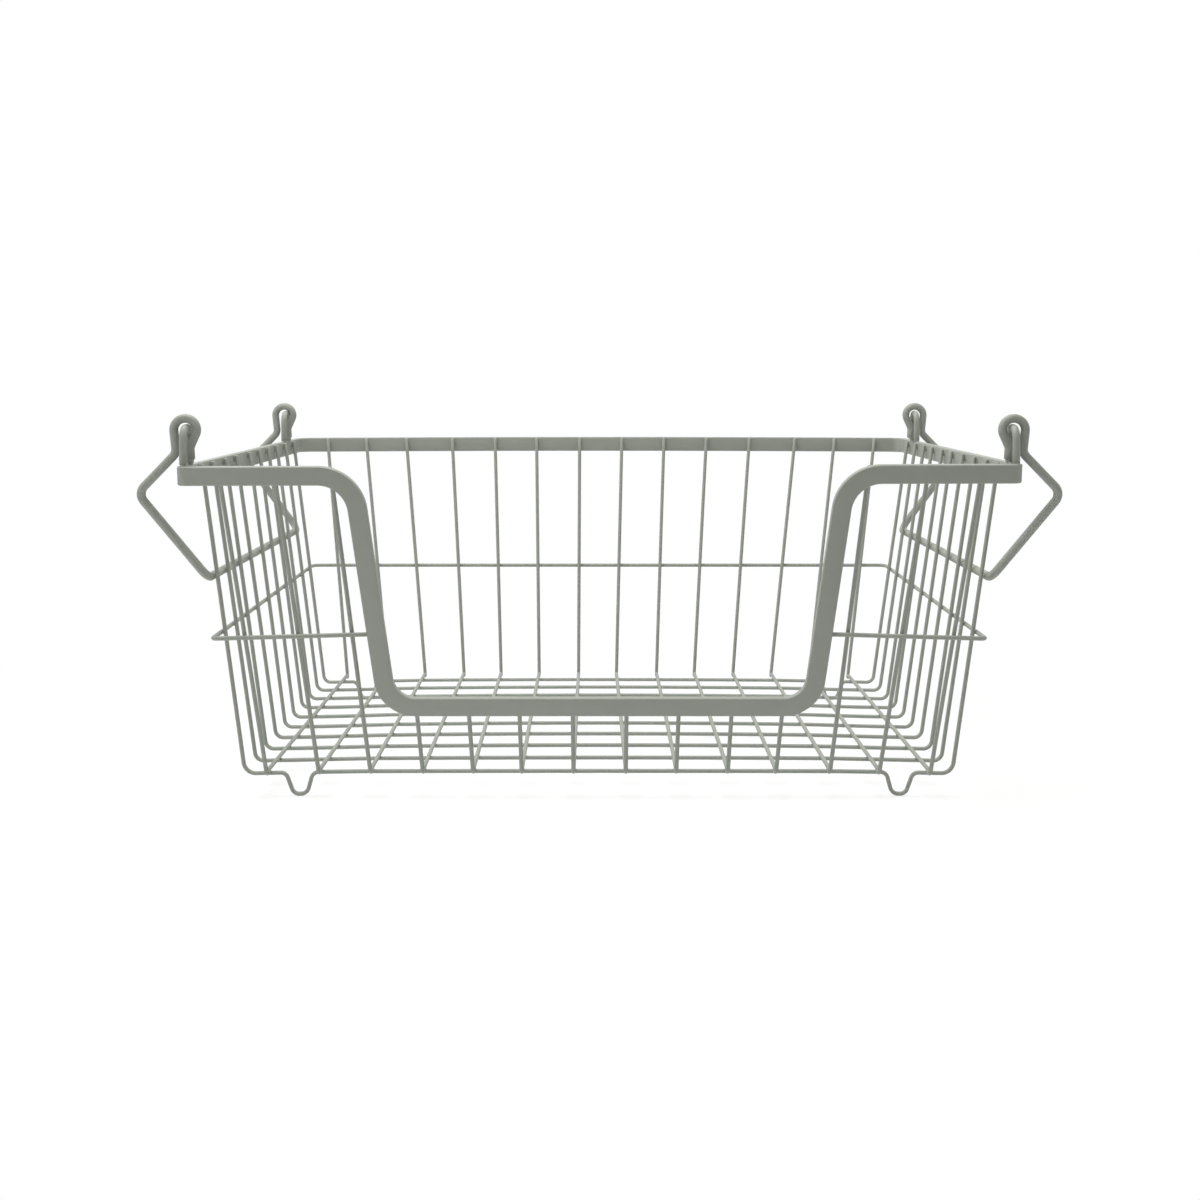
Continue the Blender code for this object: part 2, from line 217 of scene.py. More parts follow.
# The twist, the sway and the rise are how far the real rim is out of true
bar = {
    "height": 10.8 * mm,
    "thickness": 4.4 * mm,
    "edgeRadius": 0.8 * mm,
    "edgeSegments": 5,
    "sharpFrom": math.radians(50),
    "frontCornerRadius": 3.5 * mm,
    "rearCornerRadius": 9.0 * mm,
    "cutoutTop": 276.8 * mm,
    "cutoutBottom": 243.6 * mm,
    "cutoutHeight": 41.85 * mm,
    "cutoutTopBend": 22.3 * mm,
    "cutoutLowBend": 18.3 * mm,
    "frontTwist": 0.7 * mm,
    "rearSway": 0.8 * mm,
    "rearRise": 0.8 * mm,
    "rearParts": 10,
}
rimZ = rimTopZ - bar["height"] / 2
cutoutZ = walls["floorHeight"] + bar["cutoutHeight"]


def sideBarX():
    return sideWallX(rimTopZ, longWires["radius"]) + walls["seatGap"] + bar["thickness"] / 2


def rearBarY():
    return endWallY(rimTopZ, crossWires["radius"]) + walls["seatGap"] + bar["thickness"] / 2


def rearRimRise(x):
    return bar["rearRise"] * max(0.0, 1 - (x / sideBarX()) ** 2)


def rimTwist(x, y):
    # The front of the rim hangs a little lower at the left than at the right, and the back is level
    return bar["frontTwist"] * x / sideBarX() * (rearBarY() - y) / (2 * rearBarY())


def rimSway(y):
    # Towards the back the rim stands a little over to the right
    return bar["rearSway"] * (y + rearBarY()) / (2 * rearBarY())


def rimCorners():
    # The place, the bend radius, and whether the corner turns in plan, round the rim, or in the front
    x = sideBarX()
    frontY = -endWallY(rimZ, rimOverCross)
    lowY = -endWallY(cutoutZ, rimOverCross)
    rearY = rearBarY()
    topX = bar["cutoutTop"] / 2
    lowX = bar["cutoutBottom"] / 2
    return [
        (Vector((-x, frontY, rimZ)), bar["frontCornerRadius"], True),
        (Vector((-topX, frontY, rimZ)), bar["cutoutTopBend"], False),
        (Vector((-lowX, lowY, cutoutZ)), bar["cutoutLowBend"], False),
        (Vector((lowX, lowY, cutoutZ)), bar["cutoutLowBend"], False),
        (Vector((topX, frontY, rimZ)), bar["cutoutTopBend"], False),
        (Vector((x, frontY, rimZ)), bar["frontCornerRadius"], True),
        (Vector((x, rearY, rimZ)), bar["rearCornerRadius"], True),
        (Vector((-x, rearY, rimZ)), bar["rearCornerRadius"], True),
    ]


def rimStations():
    # Places along the middle of the bar, each with the way its outer face looks.
    # The sides and the back stand upright, and the front leans with its wall.
    corners = rimCorners()
    rearRight = len(corners) - 2
    stations = []
    for index, (corner, radius, inPlan) in enumerate(corners):
        before = corners[index - 1][0]
        after = corners[(index + 1) % len(corners)][0]
        centre, places = bendPoints(before, corner, after, radius, smoothness["barBend"])
        for place in places:
            level = (place - centre).normalized() if inPlan else Vector((0, -1, 0))
            lean = endLean * max(0.0, -level.y)
            stations.append((place, level * math.cos(lean) - Vector((0, 0, math.sin(lean)))))
        if index == rearRight:
            start = places[-1]
            end = Vector((-start.x, start.y, start.z))
            shares = [part / bar["rearParts"] for part in range(1, bar["rearParts"])]
            stations += [(start.lerp(end, share), Vector((0, 1, 0))) for share in shares]
    facingBack = 0.99
    for place, outward in stations:
        if outward.y > facingBack:
            place.z += rearRimRise(place.x)
        place.z += rimTwist(place.x, place.y) * (place.z - cutoutZ) / (rimZ - cutoutZ)
        place.x += rimSway(place.y)
    return stations


def rimFrames():
    stations = rimStations()
    frames = []
    for index, (place, outward) in enumerate(stations):
        ahead = (stations[(index + 1) % len(stations)][0] - place).normalized()
        behind = (place - stations[index - 1][0]).normalized()
        along = (ahead + behind).normalized()
        upward = outward.cross(along).normalized()
        along = upward.cross(outward)
        turn = Matrix((outward, upward, along)).transposed().to_4x4()
        frames.append(Matrix.Translation(place) @ turn)
    return frames


def makeRim(material):
    # The bar's section is drawn once and carried round the rim
    frames = rimFrames()
    work = bmesh.new()
    section = bmesh.ops.create_grid(work, x_segments=1, y_segments=1, size=0.5)["verts"]
    bmesh.ops.scale(work, vec=(bar["thickness"], bar["height"], 1.0), verts=section)
    bmesh.ops.bevel(work, geom=section, offset=bar["edgeRadius"], segments=bar["edgeSegments"],
                    profile=0.5, affect="VERTICES")
    bmesh.ops.delete(work, geom=work.faces[:], context="FACES_ONLY")
    bmesh.ops.transform(work, matrix=frames[0], verts=work.verts[:])
    firstRing = work.edges[:]
    ring = firstRing
    for previous, station in zip(frames, frames[1:]):
        grown = bmesh.ops.extrude_edge_only(work, edges=ring)["geom"]
        ring = [item for item in grown if isinstance(item, bmesh.types.BMEdge)]
        moved = [item for item in grown if isinstance(item, bmesh.types.BMVert)]
        bmesh.ops.transform(work, matrix=station @ previous.inverted(), verts=moved)
    bmesh.ops.bridge_loops(work, edges=ring + firstRing)
    bmesh.ops.recalc_face_normals(work, faces=work.faces[:])
    mesh = meshFrom(work, "rimBar")
    mesh.shade_smooth()
    mesh.set_sharp_from_angle(angle=bar["sharpFrom"])
    piece = bpy.data.objects.new("rimBar", mesh)
    clothePiece(piece, basketBody, material, ("rim_band",))


# The shifts are how far each wire's end on the rim is from its even place, in mm, from front to
# back
longWires = {
    "count": 10,
    "radius": 1.22 * mm,
    "frontSetback": 6.1 * mm,
    "rearSetback": 14.4 * mm,
    "rimFrontSetback": 4.4 * mm,
    "rimRearSetback": 9.5 * mm,
    "frontBendRadius": 7.2 * mm,
    "bendRadius": 5.4 * mm,
    "endDrop": 0.6 * mm,
    "leftRimShifts": (1.0, -3.5, -2.0, -3.5, 3.0, 2.0, 0.0, -2.0, -2.0, -1.5),
    "rightRimShifts": (0.0, -3.0, -3.0, -2.5, 0.0, -2.0, 0.0, -3.0, -3.0, -3.0),
}
wireEndZ = rimTopZ - longWires["endDrop"]

# The feet are bumps in the first and the last long wire, steeper on the side towards the middle
feet = {
    "drop": 12.62 * mm,
    "spread": 350.4 * mm,
    "outerTop": 8.4 * mm,
    "innerTop": 7.4 * mm,
    "bottomWidth": 7.8 * mm,
    "topRadius": 4.4 * mm,
    "bottomRadius": 4.6 * mm,
}


def longWireEnds(index, side):
    share = index / (longWires["count"] - 1)
    front = -walls["floorDepth"] / 2
    floorY = mixed(front + longWires["frontSetback"], -front - longWires["rearSetback"], share)
    rimY = mixed(front + longWires["rimFrontSetback"], -front - longWires["rimRearSetback"], share)
    shifts = longWires["leftRimShifts"] if side < 0 else longWires["rightRimShifts"]
    return floorY, rimY + shifts[index] * mm


def footBump(side, y):
    middle = side * feet["spread"] / 2
    half = feet["bottomWidth"] / 2
    top = walls["floorHeight"]
    low = top - feet["drop"]
    leftTop, rightTop = feet["outerTop"], feet["innerTop"]
    if side > 0:
        leftTop, rightTop = rightTop, leftTop
    return [
        ((middle - leftTop, y, top), feet["topRadius"]),
        ((middle - half, y, low), feet["bottomRadius"]),
        ((middle + half, y, low), feet["bottomRadius"]),
        ((middle + rightTop, y, top), feet["topRadius"]),
    ]


def longWirePath(index):
    z = walls["floorHeight"]
    bendRadius = longWires["bendRadius"] if index else longWires["frontBendRadius"]
    ends = []
    for side in (-1, 1):
        floorY, rimY = longWireEnds(index, side)
        rimX = side * sideWallX(wireEndZ, 0.0, side) + rimSway(rimY)
        ends.append([
            ((rimX, rimY, wireEndZ + rimTwist(rimX, rimY)), 0.0),
            ((side * sideWallX(z, 0.0, side), floorY, z), bendRadius),
        ])
    hasFeet = index in (0, longWires["count"] - 1)
    bumps = footBump(-1, floorY) + footBump(1, floorY) if hasFeet else []
    return crowned(bentPath(ends[0] + bumps + ends[1][::-1]))


# The shifts are how far each welded wire sits from its even place, in mm, from left to right
crossWires = {
    "radius": 1.25 * mm,
    "rimShares": (0.072, 0.2165, 0.360, 0.506, 0.6555, 0.797, 0.930),
    "sideSetback": 14.65 * mm,
    "bendRadius": 2.2 * mm,
    "bendDrop": 3.7 * mm,
    "bendRun": 4.8 * mm,
    "frontFloorShifts": (-1.5, -0.7, -0.2, 0.7, 0.3, -1.0, -0.4, 0.5, 0.3, 0.7, -0.8, 1.0, 0.1, 0.2),
    "frontRimShifts": (0.4, 0.8, 0, 0, 0, 0, 0, 0, 0, 0, 0, 0, 1.0, 0.3),
    "rearFloorShifts": (-0.8, 0.4, -0.3, -0.2, -1.4, -1.8, -1.2, -1.8, -0.7, -1.4, -1.3, -1.8, -2.0, -2.0),
    "rearRimShifts": (4.0, 3.1, 1.6, 2.7, 2.2, 1.3, 1.3, 0.8, 0.1, -0.2, -0.5, 0.3, -1.7, -1.5),
}
crossFloorZ = walls["floorHeight"] + longWires["radius"] + walls["seatGap"] + crossWires["radius"]
rimOverCross = crossWires["radius"] + walls["seatGap"] + bar["thickness"] / 2


def crossWirePlaces():
    count = 2 * len(crossWires["rimShares"])
    pitch = (walls["floorLength"] - 2 * crossWires["sideSetback"]) / (count - 1)
    halfRim = sideWallX(rimTopZ)
    half = []
    for index, share in enumerate(crossWires["rimShares"]):
        half.append(((index + 0.5) * pitch, share * halfRim))
    even = [(-floorX, -rimX) for floorX, rimX in reversed(half)] + half
    places = []
    for index, (floorX, rimX) in enumerate(even):
        places.append({
            "inCutout": abs(floorX) < bar["cutoutBottom"] / 2,
            "frontRimX": rimX + crossWires["frontRimShifts"][index] * mm,
            "frontFloorX": floorX + crossWires["frontFloorShifts"][index] * mm,
            "rearFloorX": floorX + crossWires["rearFloorShifts"][index] * mm,
            "rearRimX": rimX + crossWires["rearRimShifts"][index] * mm,
        })
    return places


def crossWallX(place, z, side):
    share = (z - walls["floorHeight"]) / walls["rimHeight"]
    if side < 0:
        return mixed(place["frontFloorX"], place["frontRimX"], share)
    return mixed(place["rearFloorX"], place["rearRimX"], share)


def crossEndZ(place, side):
    if side > 0:
        return wireEndZ + rearRimRise(place["rearRimX"])
    if place["inCutout"]:
        return cutoutZ + bar["height"] / 2 * math.cos(endLean) - longWires["endDrop"]
    return wireEndZ + rimTwist(place["frontRimX"], -endWallY(wireEndZ))


def crossWirePath(place):
    bendZ = crossFloorZ - crossWires["bendDrop"]
    rampY = endWallY(walls["floorHeight"]) - crossWires["bendRun"]
    halves = []
    for side, floorX in ((-1, place["frontFloorX"]), (1, place["rearFloorX"])):
        endZ = crossEndZ(place, side)
        halves.append([
            ((crossWallX(place, endZ, side), side * endWallY(endZ), endZ), 0.0),
            ((floorX, side * endWallY(bendZ), bendZ), crossWires["bendRadius"]),
            ((floorX, side * rampY, crossFloorZ), crossWires["bendRadius"]),
        ])
    return crowned(bentPath(halves[0] + halves[1][::-1]))


belt = {
    "radius": 1.28 * mm,
    "frontHeight": 81.7 * mm,
    "rearHeight": 83.9 * mm,
    "frontCornerRadius": 3.0 * mm,
    "rearCornerRadius": 6.0 * mm,
    "frontRise": 2.5 * mm,
}
beltFrontZ = walls["floorHeight"] + belt["frontHeight"]
beltRearZ = walls["floorHeight"] + belt["rearHeight"]
beltOverLong = longWires["radius"] + walls["seatGap"] + belt["radius"]
beltOverCross = crossWires["radius"] + walls["seatGap"] + belt["radius"]


def beltEndX():
    # The belt stops at the outer edge of the bar's legs
    legHeight = rimZ - cutoutZ
    legX = mixed(bar["cutoutBottom"], bar["cutoutTop"], (beltFrontZ - cutoutZ) / legHeight) / 2
    lean = (bar["cutoutTop"] - bar["cutoutBottom"]) / 2 / legHeight
    return legX + bar["height"] / 2 * math.hypot(1.0, lean)


def beltRunZ(x):
    # The front runs climb a little from the corners to the cut-out
    cornerX = sideWallX(beltFrontZ, beltOverLong)
    return beltFrontZ + belt["frontRise"] * (cornerX - abs(x)) / (cornerX - beltEndX())


def beltSideZ(y):
    depth = endWallY(beltFrontZ, beltOverCross)
    return mixed(beltFrontZ, beltRearZ, (y + depth) / (2 * depth))


def beltPath():
    endX = beltEndX()
    frontY = -endWallY(beltFrontZ, beltOverCross)
    rearY = endWallY(beltRearZ, beltOverCross)
    front = (frontY, beltFrontZ, belt["frontCornerRadius"])
    rear = (rearY, beltRearZ, belt["rearCornerRadius"])
    corners = [((-endX, frontY, beltRunZ(endX)), 0.0)]
    for side, ends in ((-1, (front, rear)), (1, (rear, front))):
        for y, z, radius in ends:
            corners.append(((side * sideWallX(z, beltOverLong, side), y, z), radius))
    corners.append(((endX, frontY, beltRunZ(endX)), 0.0))
    return bentPath(corners)


def makeWires(material):
    roundness = smoothness["thinWire"]
    last = longWires["count"] - 1
    names = {0: "foot_wire_front", last: "foot_wire_rear"}
    for index in range(longWires["count"]):
        node = names.get(index, f"long_wire_{index + 1}")
        roundedWire(f"longWire{index + 1}", longWirePath(index), longWires["radius"], roundness,
                    material, basketBody, node)
    for index, place in enumerate(crossWirePlaces()):
        roundedWire(f"crossWire{index + 1}", crossWirePath(place), crossWires["radius"], roundness,
                    material, basketBody, f"cross_wire_{index + 1}")
    roundedWire("beltWire", beltPath(), belt["radius"], roundness,
                material, basketBody, "belt_wire")


staples = {
    "radius": 2.1 * mm,
    "span": 14.6 * mm,
    "height": 20.58 * mm,
    "sunk": 0.1 * mm,
    "bendRadius": 6.0 * mm,
    "inset": 1.35 * mm,
    "frontSetback": 12.0 * mm,
    "rearSetback": 53.9 * mm,
}


def staplePlaces():
    rimY = endWallY(rimTopZ, rimOverCross + bar["thickness"] / 2)
    return -rimY + staples["frontSetback"], rimY - staples["rearSetback"], sideBarX() - staples["inset"]


def staplePath(side, middleY):
    x = side * staplePlaces()[2] + rimSway(middleY)
    bottom = rimTopZ - staples["sunk"] + min(0.0, rimTwist(x, middleY))
    top = rimTopZ + staples["height"]
    near = middleY - staples["span"] / 2
    far = middleY + staples["span"] / 2
    return bentPath([
        ((x, near, bottom), 0.0),
        ((x, near, top), staples["bendRadius"]),
        ((x, far, top), staples["bendRadius"]),
        ((x, far, bottom), 0.0),
    ])


# Reaches and drops are from the hinge line, and the leans are how far an arm slopes front to back
handles = {
    "radius": 2.5 * mm,
    "hingeX": 234.27 * mm,
    "eyeInner": 3.95 * mm,
    "tailNeckInset": 2.6 * mm,
    "tailNeckDrop": 10.0 * mm,
    "tailBend": 6.0 * mm,
    "tailEndInset": 3.1 * mm,
    "tailEndDrop": 17.6 * mm,
    "neckReach": 5.2 * mm,
    "neckDrop": 13.2 * mm,
    "neckBend": 6.0 * mm,
    "elbowReach": 27.4 * mm,
    "elbowDrop": 36.1 * mm,
    "elbowBend": 7.0 * mm,
    "gripDrop": 86.5 * mm,
    "gripBend": 8.0 * mm,
    "frontLean": 17.0 * mm,
    "rearLean": 10.0 * mm,
}
eyeOffset = (handles["eyeInner"] - staples["radius"] - walls["seatGap"]) / math.sqrt(2)
eyeZ = rimTopZ + staples["height"] - eyeOffset


def tangentAngle(reach, drop, side, radius):
    return math.atan2(-drop, reach) + side * math.acos(radius / math.hypot(reach, drop))


def eyePath(place, y):
    # The open eye, from its free tail round the top to the run down to the neck
    radius = handles["eyeInner"] + handles["radius"]
    start = tangentAngle(handles["tailNeckInset"], handles["tailNeckDrop"], 1, radius)
    end = tangentAngle(-handles["neckReach"], handles["neckDrop"], -1, radius) + 2 * math.pi
    count = math.ceil((end - start) / smoothness["wireBend"])
    angles = [mixed(start, end, index / count) for index in range(count + 1)]
    circle = [place(radius * math.cos(angle), radius * math.sin(angle), y) for angle in angles]
    tail = [
        (place(handles["tailEndInset"], -handles["tailEndDrop"], y), 0.0),
        (place(handles["tailNeckInset"], -handles["tailNeckDrop"], y), handles["tailBend"]),
        (circle[0], 0.0),
    ]
    return bentPath(tail)[:-1] + circle


def gripReach(side):
    wireX = sideWallX(eyeZ - handles["gripDrop"], longWires["radius"], side)
    # The sway moves the right wall's wires outward, and the right grip clears them
    sway = bar["rearSway"] / 2 if side > 0 else 0.0
    return wireX + walls["seatGap"] + handles["radius"] + sway


def handlePath(side):
    frontY, rearY, _ = staplePlaces()

    def place(inward, up, y):
        return Vector((side * (handles["hingeX"] - inward), y, eyeZ + up))

    def arm(y, gripY):
        return [
            (place(-handles["neckReach"], -handles["neckDrop"], y), handles["neckBend"]),
            (place(-handles["elbowReach"], -handles["elbowDrop"], y), handles["elbowBend"]),
            (place(handles["hingeX"] - gripReach(side), -handles["gripDrop"], gripY), handles["gripBend"]),
        ]

    frontEye = eyePath(place, frontY)
    rearEye = eyePath(place, rearY)
    corners = [(frontEye[-1], 0.0)] + arm(frontY, frontY + handles["frontLean"])
    corners += arm(rearY, rearY + handles["rearLean"])[::-1] + [(rearEye[-1], 0.0)]
    return frontEye[:-1] + bentPath(corners) + rearEye[-2::-1]


def makeHandles(material):
    roundness = smoothness["thickWire"]
    frontY, rearY, _ = staplePlaces()
    for sideName, side in (("left", -1), ("right", 1)):
        for endName, middleY in (("front", frontY), ("rear", rearY)):
            name = f"staple{endName.title()}{sideName.title()}"
            roundedWire(name, staplePath(side, middleY), staples["radius"], roundness,
                        material, basketBody, f"staple_{endName}_{sideName}")
        roundedWire(f"handle{sideName.title()}", handlePath(side), handles["radius"], roundness,
                    material, handleBodies[sideName], f"handle_{sideName}")


# Half sizes of the mounds where two wires cross, at the ends of the belt and round a staple's leg,
# and of the seams along a wire on the bar. Shares and drops are in heights of the bar.
welds = {
    "crossHalf": (0.85 * mm, 0.85 * mm, 0.5 * mm),
    "beltEndHalf": (0.9 * mm, 1.35 * mm, 1.5 * mm),
    "seamHalfWidth": 1.6 * mm,
    "seamHalfDepth": 0.75 * mm,
    "fullSeamShare": 0.46,
    "upperSeamShare": 0.24,
    "sideSeamDrop": 0.25,
    "backSeamDrop": 0.22,
    "collarHalfLength": 1.5 * mm,
    "collarHeight": 0.9 * mm,
    "collarWidth": 0.7 * mm,
}
flatAxes = (Vector((1, 0, 0)), Vector((0, 1, 0)), Vector((0, 0, 1)))


def addMound(work, place, halfSizes, axes):
    turn = Matrix(axes).transposed().to_4x4()
    size = Matrix.Diagonal((*halfSizes, 1.0))
    shape = Matrix.Translation(place) @ turn @ size
    bmesh.ops.create_icosphere(work, subdivisions=2, radius=1.0, matrix=shape)


def seamSizes(share):
    return welds["seamHalfWidth"], bar["height"] * share, welds["seamHalfDepth"]


def weldLongWire(work, index, places):
    seat = longWires["radius"] + walls["seatGap"] / 2
    floorY = longWireEnds(index, 1)[0]
    share = (floorY + walls["floorDepth"] / 2) / walls["floorDepth"]
    for place in places:
        x = mixed(place["frontFloorX"], place["rearFloorX"], share)
        spot = Vector((x, floorY, walls["floorHeight"] + seat + floorRise(x, floorY)))
        addMound(work, spot, welds["crossHalf"], flatAxes)
    beltZ = beltSideZ(floorY)
    for side in (-1, 1):
        rimY = longWireEnds(index, side)[1]
        outward = Vector((side * math.cos(sideLean), 0, -math.sin(sideLean)))
        upward = Vector((side * math.sin(sideLean), 0, math.cos(sideLean)))
        axes = (upward.cross(outward), upward, outward)
        beltY = mixed(floorY, rimY, (beltZ - walls["floorHeight"]) / walls["rimHeight"])
        spot = Vector((side * sideWallX(beltZ, seat, side), beltY, beltZ))
        addMound(work, spot, welds["crossHalf"], axes)
        # The leaning wire meets the upright bar at its top, so the seam is only the upper half
        seamZ = rimTopZ - bar["height"] * welds["sideSeamDrop"]
        seam = Vector((side * sideWallX(rimTopZ, seat) + rimSway(rimY), rimY, seamZ))
        addMound(work, seam, seamSizes(welds["upperSeamShare"]), axes)


def weldCrossWire(work, place, side):
    seat = crossWires["radius"] + walls["seatGap"] / 2
    top = crossEndZ(place, side)
    endsLow = top < rimZ
    seamZ = cutoutZ if endsLow else rimZ
    outward = Vector((0, side * math.cos(endLean), -math.sin(endLean)))
    # The wire's own slope across the wall, over one millimetre of height
    slope = crossWallX(place, seamZ + mm, side) - crossWallX(place, seamZ, side)
    upward = Vector((slope, side * math.sin(endLean) * mm, math.cos(endLean) * mm)).normalized()
    axes = (upward.cross(outward).normalized(), upward, outward)
    share = welds["fullSeamShare"]
    if side > 0:
        # At the back, as at the sides, the leaning wire meets the upright bar only at its top
        seamZ = top - bar["height"] * welds["backSeamDrop"]
        share = welds["upperSeamShare"]
    spot = Vector((crossWallX(place, seamZ, side), side * endWallY(seamZ, seat), seamZ))
    addMound(work, spot, seamSizes(share), axes)
    if not endsLow:
        x = crossWallX(place, beltRearZ, side)
        z = beltRunZ(x) if side < 0 else beltRearZ
        addMound(work, Vector((x, side * endWallY(z, seat), z)), welds["crossHalf"], axes)


def weldBeltEnds(work):
    endX = beltEndX()
    for side in (-1, 1):
        spot = Vector((side * endX, -endWallY(beltFrontZ, beltOverCross), beltRunZ(endX)))
        addMound(work, spot, welds["beltEndHalf"], flatAxes)


def weldStaples(work):
    frontY, rearY, stapleX = staplePlaces()
    halfSizes = (welds["collarHalfLength"], staples["radius"] + welds["collarWidth"], welds["collarHeight"])
    for side in (-1, 1):
        for middle in (frontY, rearY):
            for leg in (-1, 1):
                y = middle + leg * staples["span"] / 2
                spot = Vector((side * stapleX + rimSway(middle), y, rimTopZ + rimTwist(side * stapleX, y)))
                addMound(work, spot, halfSizes, flatAxes)


def makeWelds(material):
    # Each weld is a low mound of coated metal that fills the corner between two pieces
    work = bmesh.new()
    places = crossWirePlaces()
    for index in range(longWires["count"]):
        weldLongWire(work, index, places)
    for place in places:
        for side in (-1, 1):
            weldCrossWire(work, place, side)
    weldBeltEnds(work)
    weldStaples(work)
    for face in work.faces:
        face.smooth = True
    mesh = meshFrom(work, "weldMounds")
    clothePiece(bpy.data.objects.new("weldMounds", mesh), basketBody, material)


coat = {
    "colour": "#9CA097",
    "darkColour": "#969A91",
    "roughness": 0.5,
    "roughnessSpread": 0.05,
    "specular": 0.25,
    "patchSize": 60.0 * mm,
    "patchDetail": 2.0,
    "grainSize": 0.35 * mm,
    "grainDetail": 3.0,
    "peelSize": 1.2 * mm,
    "peelDetail": 1.5,
    "peelDepth": 0.03 * mm,
    "peelStrength": 0.35,
}


def powderCoat(name):
    # Powder-coated steel: satin, a fine orange peel from the baked powder and slow patches of thinner coat
    material = bpy.data.materials.new(name)
    material.use_nodes = True
    tree = material.node_tree
    shader = tree.nodes["Principled BSDF"]
    shader.inputs["Specular IOR Level"].default_value = coat["specular"]
    place = addNode(tree, "ShaderNodeTexCoord").outputs["Object"]
    patches = addNode(tree, "ShaderNodeTexNoise",
                      {"Scale": 1 / coat["patchSize"], "Detail": coat["patchDetail"]}, {"Vector": place})
    lightSocket, darkSocket, colourSocket = 6, 7, 2
    tones = addNode(tree, "ShaderNodeMix",
                    {"data_type": "RGBA", lightSocket: linearColour(coat["colour"]),
                     darkSocket: linearColour(coat["darkColour"])},
                    {"Factor": patches.outputs["Fac"]})
    tree.links.new(tones.outputs[colourSocket], shader.inputs["Base Color"])
    grain = addNode(tree, "ShaderNodeTexNoise",
                    {"Scale": 1 / coat["grainSize"], "Detail": coat["grainDetail"]}, {"Vector": place})
    rough = addNode(tree, "ShaderNodeMapRange",
                    {"To Min": coat["roughness"] - coat["roughnessSpread"],
                     "To Max": coat["roughness"] + coat["roughnessSpread"]},
                    {"Value": grain.outputs["Fac"]})
    tree.links.new(rough.outputs["Result"], shader.inputs["Roughness"])
    peel = addNode(tree, "ShaderNodeTexNoise",
                   {"Scale": 1 / coat["peelSize"], "Detail": coat["peelDetail"]}, {"Vector": place})
    bump = addNode(tree, "ShaderNodeBump",
                   {"Strength": coat["peelStrength"], "Distance": coat["peelDepth"]},
                   {"Height": peel.outputs["Fac"]})
    tree.links.new(bump.outputs["Normal"], shader.inputs["Normal"])
    return material


def shownRays(tree):
    # The rays that see the backdrop itself: the camera's, and those that mirror or pass through a surface
    rays = addNode(tree, "ShaderNodeLightPath")
    glossy = addNode(tree, "ShaderNodeMath", {"operation": "MAXIMUM"},
                     {0: rays.outputs["Is Glossy Ray"], 1: rays.outputs["Is Transmission Ray"]})
    return addNode(tree, "ShaderNodeMath", {"operation": "MAXIMUM"},
                   {0: rays.outputs["Is Camera Ray"], 1: glossy.outputs[0]}).outputs[0]


# In metres from the middle: the paper fades into plain white between the near and the far radius
floorLook = {
    "radius": 30.0,
    "sides": 64,
    "colour": "#8A8A89",
    "glow": 0.76,
    "whiteGlow": 1.0,
    "bounceColour": "#F2F2F1",
    "nearRadius": 0.28,
    "farRadius": 0.55,
}


def makeFloor():
    # A white sweep: pale paper near the basket, which takes its shadow, and plain white beyond
    work = bmesh.new()
    bmesh.ops.create_circle(work, cap_ends=True, segments=floorLook["sides"],
                            radius=floorLook["radius"])
    mesh = meshFrom(work, "studioFloor")
    floor = bpy.data.objects.new("studioFloor", mesh)
    bpy.context.scene.collection.objects.link(floor)
    material = bpy.data.materials.new("white sweep")
    material.use_nodes = True
    tree = material.node_tree
    tree.nodes.remove(tree.nodes["Principled BSDF"])
    place = addNode(tree, "ShaderNodeTexCoord").outputs["Object"]
    distance = addNode(tree, "ShaderNodeVectorMath", {"operation": "LENGTH"}, {0: place})
    beyond = addNode(tree, "ShaderNodeMapRange",
                     {"From Min": floorLook["nearRadius"], "From Max": floorLook["farRadius"]},
                     {"Value": distance.outputs["Value"]})
    paper = addNode(tree, "ShaderNodeBsdfDiffuse", {"Color": linearColour(floorLook["colour"])})
    glow = addNode(tree, "ShaderNodeEmission", {"Strength": floorLook["glow"]})
    near = addNode(tree, "ShaderNodeAddShader", {}, {0: paper.outputs[0], 1: glow.outputs[0]})
    white = addNode(tree, "ShaderNodeEmission", {"Strength": floorLook["whiteGlow"]})
    seen = addNode(tree, "ShaderNodeMixShader", {},
                   {0: beyond.outputs["Result"], 1: near.outputs[0], 2: white.outputs[0]})
    bounced = addNode(tree, "ShaderNodeBsdfDiffuse", {"Color": linearColour(floorLook["bounceColour"])})
    mix = addNode(tree, "ShaderNodeMixShader", {},
                  {0: shownRays(tree), 1: bounced.outputs[0], 2: seen.outputs[0]})
    tree.links.new(mix.outputs[0], tree.nodes["Material Output"].inputs["Surface"])
    mesh.materials.append(material)


# Broad soft boxes at the sides, in front and above, and a weak even light from all round.
# Each box has its power in watts and its place in metres.
light = {
    "skyLevel": 0.12,
    "backdropLevel": 1.0,
    "boxSize": 1.0,
    "aim": (0.0, 0.0, 0.1),
    "boxes": {
        "leftBox": (2.4, (-1.0, -0.3, 0.45)),
        "rightBox": (2.0, (1.0, -0.1, 0.45)),
        "frontBox": (1.4, (-0.5, -1.2, 0.5)),
        "topBox": (20.5, (-0.2, 0.0, 1.3)),
    },
}


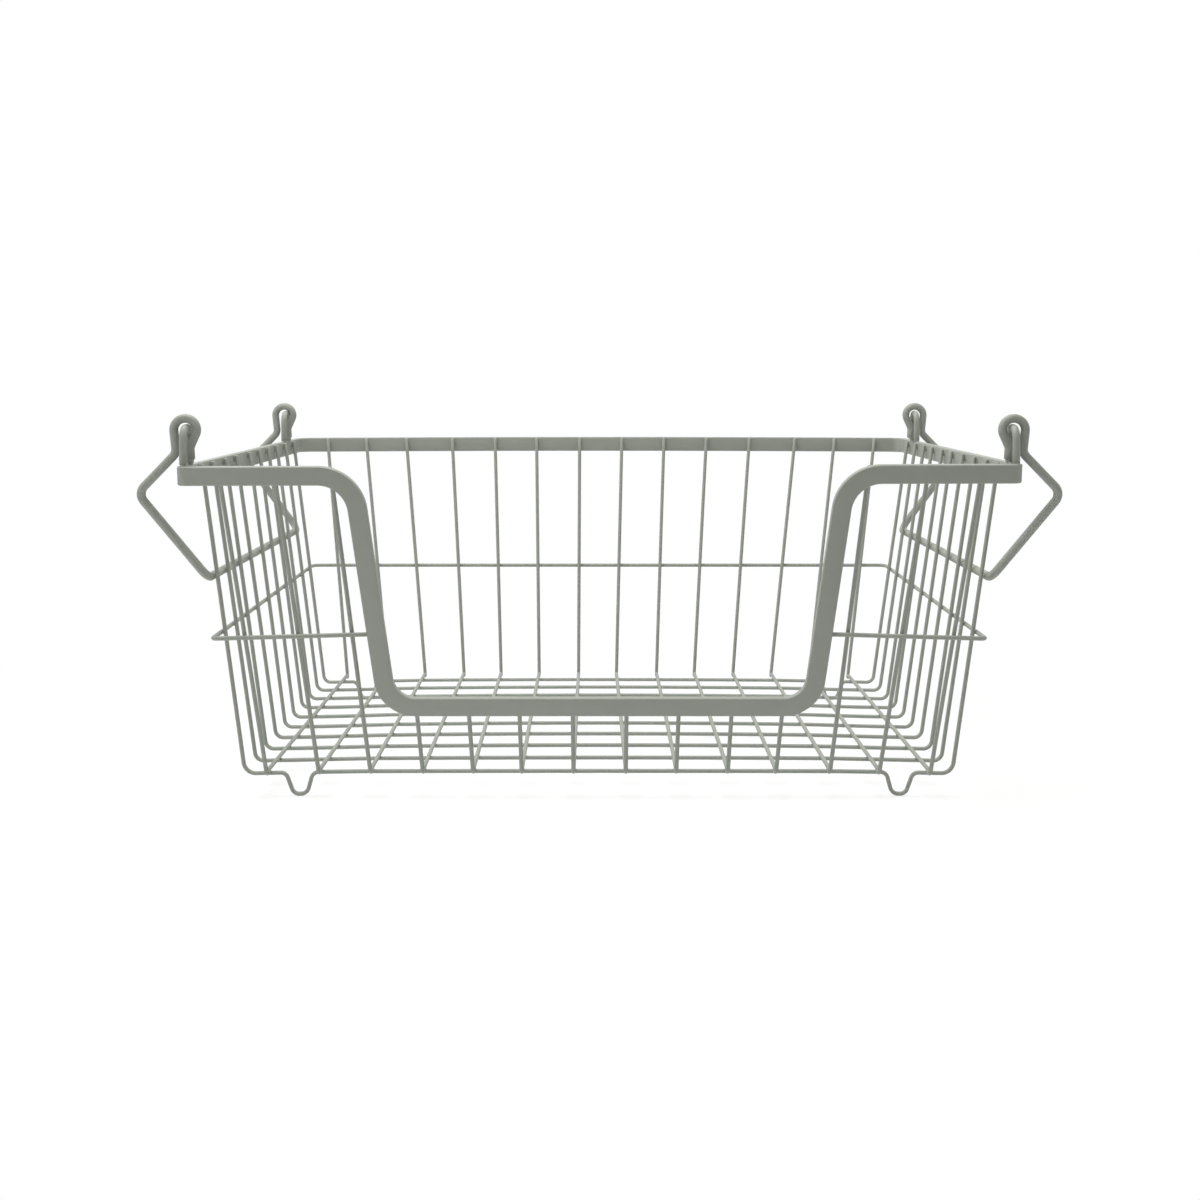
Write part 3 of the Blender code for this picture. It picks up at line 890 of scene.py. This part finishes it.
def addSoftBox(name, watts, place):
    lamp = bpy.data.lights.new(name, "AREA")
    lamp.size = light["boxSize"]
    lamp.energy = watts
    box = bpy.data.objects.new(name, lamp)
    box.location = place
    box.rotation_euler = (Vector(light["aim"]) - box.location).to_track_quat("-Z", "Y").to_euler()
    box.visible_camera = False
    bpy.context.scene.collection.objects.link(box)


def makeLight():
    world = bpy.data.worlds.new("studio")
    bpy.context.scene.world = world
    world.use_nodes = True
    tree = world.node_tree
    white = (1.0, 1.0, 1.0, 1.0)
    backdrop = tree.nodes["Background"]
    backdrop.inputs["Color"].default_value = white
    backdrop.inputs["Strength"].default_value = light["backdropLevel"]
    sky = addNode(tree, "ShaderNodeBackground", {"Color": white, "Strength": light["skyLevel"]})
    mix = addNode(tree, "ShaderNodeMixShader", {},
                  {0: shownRays(tree), 1: sky.outputs[0], 2: backdrop.outputs[0]})
    tree.links.new(mix.outputs[0], tree.nodes["World Output"].inputs["Surface"])
    for name, (watts, place) in light["boxes"].items():
        addSoftBox(name, watts, place)


# Fitted to the straight lines of the photographed basket
view = {
    "lens": 43.98,
    "sensor": 36.0,
    "shift": (0.0008, -0.1516),
    "place": (-0.0003, -0.97975, 0.2505),
    "pitch": -0.034,
}


def makeCamera():
    data = bpy.data.cameras.new("studioCamera")
    data.lens = view["lens"]
    data.sensor_width = view["sensor"]
    data.shift_x, data.shift_y = view["shift"]
    camera = bpy.data.objects.new("studioCamera", data)
    camera.location = view["place"]
    camera.rotation_euler = (math.pi / 2 + view["pitch"], 0.0, 0.0)
    bpy.context.scene.collection.objects.link(camera)
    bpy.context.scene.camera = camera


makeCamera()
makeFloor()
makeLight()
bpy.context.scene.view_settings.view_transform = "Standard"
print("studio: camera, white floor and soft light")

wireCoat = powderCoat("powder-coated steel wire")
barCoat = powderCoat("powder-coated steel bar")
handleCoat = powderCoat("powder-coated thick wire")
makeRim(barCoat)
print("rim bar")
makeWires(wireCoat)
print("wires")
makeHandles(handleCoat)
print("staples and handles")
makeWelds(wireCoat)
print("welds")
